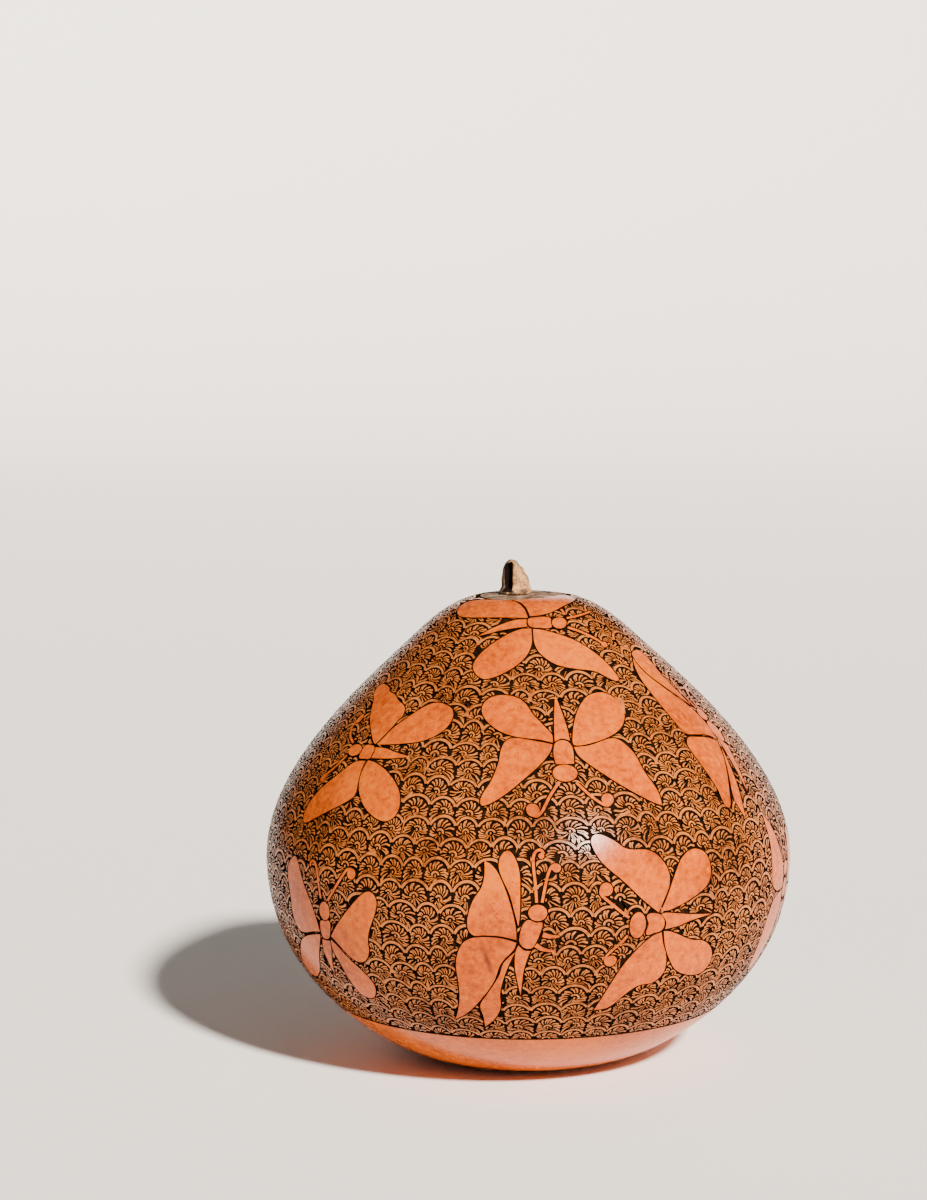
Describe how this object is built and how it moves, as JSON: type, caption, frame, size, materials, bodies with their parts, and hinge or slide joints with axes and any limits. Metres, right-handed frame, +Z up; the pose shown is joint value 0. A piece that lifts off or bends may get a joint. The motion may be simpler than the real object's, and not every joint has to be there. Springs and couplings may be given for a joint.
{
  "type": "gourd rattle",
  "caption": "Carved dried gourd rattle without a handle: a pear-shaped shell engraved with butterflies over fine scales, a plain band below, a broken stem and loose seeds inside.",
  "frame": {"origin": "middle of the flat that the gourd rests on", "axes": "+Z up through the crown; the stem stands a little towards -X from the middle; the engraved front faces -Y"},
  "size_m": [0.105, 0.105, 0.0995],
  "materials": {
    "skin": "burnished dried gourd skin, engraved and blackened",
    "stem_wood": "raw weathered stem",
    "seed_coat": "dry papery seed coat"
  },
  "bodies": {
    "gourd": {"gourd_shell": "skin", "stem": "stem_wood"},
    "loose_seed_01": {"seed_01": "seed_coat"},
    "loose_seed_02": {"seed_02": "seed_coat"},
    "loose_seed_03": {"seed_03": "seed_coat"},
    "loose_seed_04": {"seed_04": "seed_coat"},
    "loose_seed_05": {"seed_05": "seed_coat"},
    "loose_seed_06": {"seed_06": "seed_coat"},
    "loose_seed_07": {"seed_07": "seed_coat"},
    "loose_seed_08": {"seed_08": "seed_coat"},
    "loose_seed_09": {"seed_09": "seed_coat"},
    "loose_seed_10": {"seed_10": "seed_coat"},
    "loose_seed_11": {"seed_11": "seed_coat"},
    "loose_seed_12": {"seed_12": "seed_coat"},
    "loose_seed_13": {"seed_13": "seed_coat"},
    "loose_seed_14": {"seed_14": "seed_coat"},
    "loose_seed_15": {"seed_15": "seed_coat"},
    "loose_seed_16": {"seed_16": "seed_coat"},
    "loose_seed_17": {"seed_17": "seed_coat"},
    "loose_seed_18": {"seed_18": "seed_coat"},
    "loose_seed_19": {"seed_19": "seed_coat"},
    "loose_seed_20": {"seed_20": "seed_coat"},
    "loose_seed_21": {"seed_21": "seed_coat"},
    "loose_seed_22": {"seed_22": "seed_coat"},
    "loose_seed_23": {"seed_23": "seed_coat"},
    "loose_seed_24": {"seed_24": "seed_coat"},
    "loose_seed_25": {"seed_25": "seed_coat"},
    "loose_seed_26": {"seed_26": "seed_coat"},
    "loose_seed_27": {"seed_27": "seed_coat"}
  },
  "joints": [
    {"name": "seed_01_hop", "type": "slide", "parent": "gourd", "child": "loose_seed_01", "axis": [0, 0, 1], "range_m": [0, 0.04]},
    {"name": "seed_02_hop", "type": "slide", "parent": "gourd", "child": "loose_seed_02", "axis": [0, 0, 1], "range_m": [0, 0.04]},
    {"name": "seed_03_hop", "type": "slide", "parent": "gourd", "child": "loose_seed_03", "axis": [0, 0, 1], "range_m": [0, 0.04]},
    {"name": "seed_04_hop", "type": "slide", "parent": "gourd", "child": "loose_seed_04", "axis": [0, 0, 1], "range_m": [0, 0.04]},
    {"name": "seed_05_hop", "type": "slide", "parent": "gourd", "child": "loose_seed_05", "axis": [0, 0, 1], "range_m": [0, 0.04]},
    {"name": "seed_06_hop", "type": "slide", "parent": "gourd", "child": "loose_seed_06", "axis": [0, 0, 1], "range_m": [0, 0.04]},
    {"name": "seed_07_hop", "type": "slide", "parent": "gourd", "child": "loose_seed_07", "axis": [0, 0, 1], "range_m": [0, 0.04]},
    {"name": "seed_08_hop", "type": "slide", "parent": "gourd", "child": "loose_seed_08", "axis": [0, 0, 1], "range_m": [0, 0.04]},
    {"name": "seed_09_hop", "type": "slide", "parent": "gourd", "child": "loose_seed_09", "axis": [0, 0, 1], "range_m": [0, 0.04]},
    {"name": "seed_10_hop", "type": "slide", "parent": "gourd", "child": "loose_seed_10", "axis": [0, 0, 1], "range_m": [0, 0.04]},
    {"name": "seed_11_hop", "type": "slide", "parent": "gourd", "child": "loose_seed_11", "axis": [0, 0, 1], "range_m": [0, 0.04]},
    {"name": "seed_12_hop", "type": "slide", "parent": "gourd", "child": "loose_seed_12", "axis": [0, 0, 1], "range_m": [0, 0.04]},
    {"name": "seed_13_hop", "type": "slide", "parent": "gourd", "child": "loose_seed_13", "axis": [0, 0, 1], "range_m": [0, 0.04]},
    {"name": "seed_14_hop", "type": "slide", "parent": "gourd", "child": "loose_seed_14", "axis": [0, 0, 1], "range_m": [0, 0.04]},
    {"name": "seed_15_hop", "type": "slide", "parent": "gourd", "child": "loose_seed_15", "axis": [0, 0, 1], "range_m": [0, 0.04]},
    {"name": "seed_16_hop", "type": "slide", "parent": "gourd", "child": "loose_seed_16", "axis": [0, 0, 1], "range_m": [0, 0.04]},
    {"name": "seed_17_hop", "type": "slide", "parent": "gourd", "child": "loose_seed_17", "axis": [0, 0, 1], "range_m": [0, 0.04]},
    {"name": "seed_18_hop", "type": "slide", "parent": "gourd", "child": "loose_seed_18", "axis": [0, 0, 1], "range_m": [0, 0.04]},
    {"name": "seed_19_hop", "type": "slide", "parent": "gourd", "child": "loose_seed_19", "axis": [0, 0, 1], "range_m": [0, 0.04]},
    {"name": "seed_20_hop", "type": "slide", "parent": "gourd", "child": "loose_seed_20", "axis": [0, 0, 1], "range_m": [0, 0.04]},
    {"name": "seed_21_hop", "type": "slide", "parent": "gourd", "child": "loose_seed_21", "axis": [0, 0, 1], "range_m": [0, 0.04]},
    {"name": "seed_22_hop", "type": "slide", "parent": "gourd", "child": "loose_seed_22", "axis": [0, 0, 1], "range_m": [0, 0.04]},
    {"name": "seed_23_hop", "type": "slide", "parent": "gourd", "child": "loose_seed_23", "axis": [0, 0, 1], "range_m": [0, 0.04]},
    {"name": "seed_24_hop", "type": "slide", "parent": "gourd", "child": "loose_seed_24", "axis": [0, 0, 1], "range_m": [0, 0.04]},
    {"name": "seed_25_hop", "type": "slide", "parent": "gourd", "child": "loose_seed_25", "axis": [0, 0, 1], "range_m": [0, 0.04]},
    {"name": "seed_26_hop", "type": "slide", "parent": "gourd", "child": "loose_seed_26", "axis": [0, 0, 1], "range_m": [0, 0.04]},
    {"name": "seed_27_hop", "type": "slide", "parent": "gourd", "child": "loose_seed_27", "axis": [0, 0, 1], "range_m": [0, 0.04]}
  ]
}
